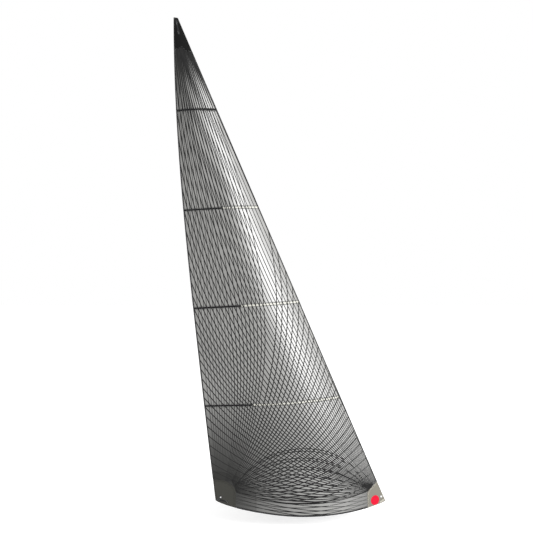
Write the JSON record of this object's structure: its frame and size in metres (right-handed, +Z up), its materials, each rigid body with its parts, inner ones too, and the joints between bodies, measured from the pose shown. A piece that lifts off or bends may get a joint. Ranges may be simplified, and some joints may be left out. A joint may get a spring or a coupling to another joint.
{
  "type": "battened headsail",
  "caption": "Battened membrane headsail held in a wind-filled curve, with radiating load yarns, taped seams and edges, batten pockets, trim lines, and a pressed ring in each patched corner.",
  "frame": {"origin": "centre of the tack ring, on the sail's cloth", "axes": "+X forward, towards the boat's bow; +Y to port, the windward side of the sail; +Z up, towards the head. The sail is set sheeted and full, with its belly to starboard (-Y)."},
  "size_m": [5.2927, 0.7504, 12.2249],
  "materials": {
    "film": "clear film laminated over dark load yarns and a light scrim, low sheen",
    "seam_tape": "glued double tape, yarns showing through",
    "draft_stripe": "cream adhesive stripe, yarns showing through",
    "pocket_cloth": "black woven laminate sleeve with zigzag stitching",
    "batten_glass_fibre": "pultruded glass fibre, satin",
    "batten_cap": "moulded",
    "edge_tape": "black woven tape, stitched",
    "rope": "braided",
    "trim_line": "braided",
    "cleat_plastic": "moulded",
    "cover_cloth": "stiffened woven laminate",
    "rivet_metal": "plain",
    "hook_strip": "hook pile",
    "head_patch_cloth": "black carbon-fibre laminate, satin",
    "tack_patch_cloth": "pale grey-beige woven cloth",
    "clew_patch_cloth": "dark olive-grey woven cloth",
    "reinforcement_cloth": "sheer dark scrim laminate",
    "dark_webbing": "flat woven webbing, box stitched",
    "pale_webbing": "flat woven webbing, box stitched",
    "badge": "plain red adhesive disc",
    "ring_metal": "anodised grey",
    "liner_metal": "turned stainless"
  },
  "bodies": {
    "sail": {"head_panel": "film", "upper_panel": "film", "middle_panel": "film", "lower_panel": "film", "foot_panel": "film", "seam_tape_1": "seam_tape", "seam_tape_2": "seam_tape", "seam_tape_3": "seam_tape", "seam_tape_4": "seam_tape", "draft_stripe_2": "draft_stripe", "draft_stripe_3": "draft_stripe", "draft_stripe_4": "draft_stripe", "batten_pocket_1": "pocket_cloth", "batten_pocket_2": "pocket_cloth", "batten_pocket_3": "pocket_cloth", "batten_pocket_4": "pocket_cloth", "luff_tape": "edge_tape", "leech_tape": "edge_tape", "foot_tape": "edge_tape", "luff_rope": "rope", "leech_line": "trim_line", "foot_line": "trim_line", "leech_cleat": "cleat_plastic", "foot_cleat": "cleat_plastic", "cleat_rivets": "rivet_metal", "cover_fasteners": "hook_strip", "head_patch": "head_patch_cloth", "tack_patch": "tack_patch_cloth", "clew_patch": "clew_patch_cloth", "clew_reinforcement": "reinforcement_cloth", "head_webbing": "dark_webbing", "clew_webbing": "dark_webbing", "tack_webbing": "pale_webbing", "tack_emblem": "badge", "head_ring": "ring_metal", "tack_ring": "ring_metal", "clew_ring": "ring_metal", "head_ring_liner": "liner_metal", "tack_ring_liner": "liner_metal", "clew_ring_liner": "liner_metal"},
    "batten_1": {"batten_1": "batten_glass_fibre", "batten_caps_1": "batten_cap"},
    "batten_2": {"batten_2": "batten_glass_fibre", "batten_caps_2": "batten_cap"},
    "batten_3": {"batten_3": "batten_glass_fibre", "batten_caps_3": "batten_cap"},
    "batten_4": {"batten_4": "batten_glass_fibre", "batten_caps_4": "batten_cap"},
    "leech_cover": {"leech_cleat_cover": "cover_cloth"},
    "foot_cover": {"foot_cleat_cover": "cover_cloth"}
  },
  "joints": [
    {"name": "batten_1_slide", "type": "hinge", "parent": "sail", "child": "batten_1", "pos_m": [-4.98621, 0.89858, 9.54691], "axis": [0.1141, 0, -0.9935], "range_deg": [0, 42]},
    {"name": "batten_2_slide", "type": "slide", "parent": "sail", "child": "batten_2", "axis": [-0.9906, -0.1168, -0.0714], "range_m": [0, 0.84]},
    {"name": "batten_3_slide", "type": "slide", "parent": "sail", "child": "batten_3", "axis": [-0.9978, -0.0435, -0.0493], "range_m": [0, 1.04]},
    {"name": "batten_4_slide", "type": "slide", "parent": "sail", "child": "batten_4", "axis": [-0.9997, 0.0072, -0.0243], "range_m": [0, 1.04]},
    {"name": "leech_cover_hinge", "type": "hinge", "parent": "sail", "child": "leech_cover", "pos_m": [-4.02928, -0.64645, 0.49877], "axis": [0.1172, 0.0393, -0.9923], "range_deg": [0, 110]},
    {"name": "foot_cover_hinge", "type": "hinge", "parent": "sail", "child": "foot_cover", "pos_m": [-0.18676, -0.11081, -0.08645], "axis": [0.8799, 0.4596, 0.1206], "range_deg": [0, 110]}
  ]
}
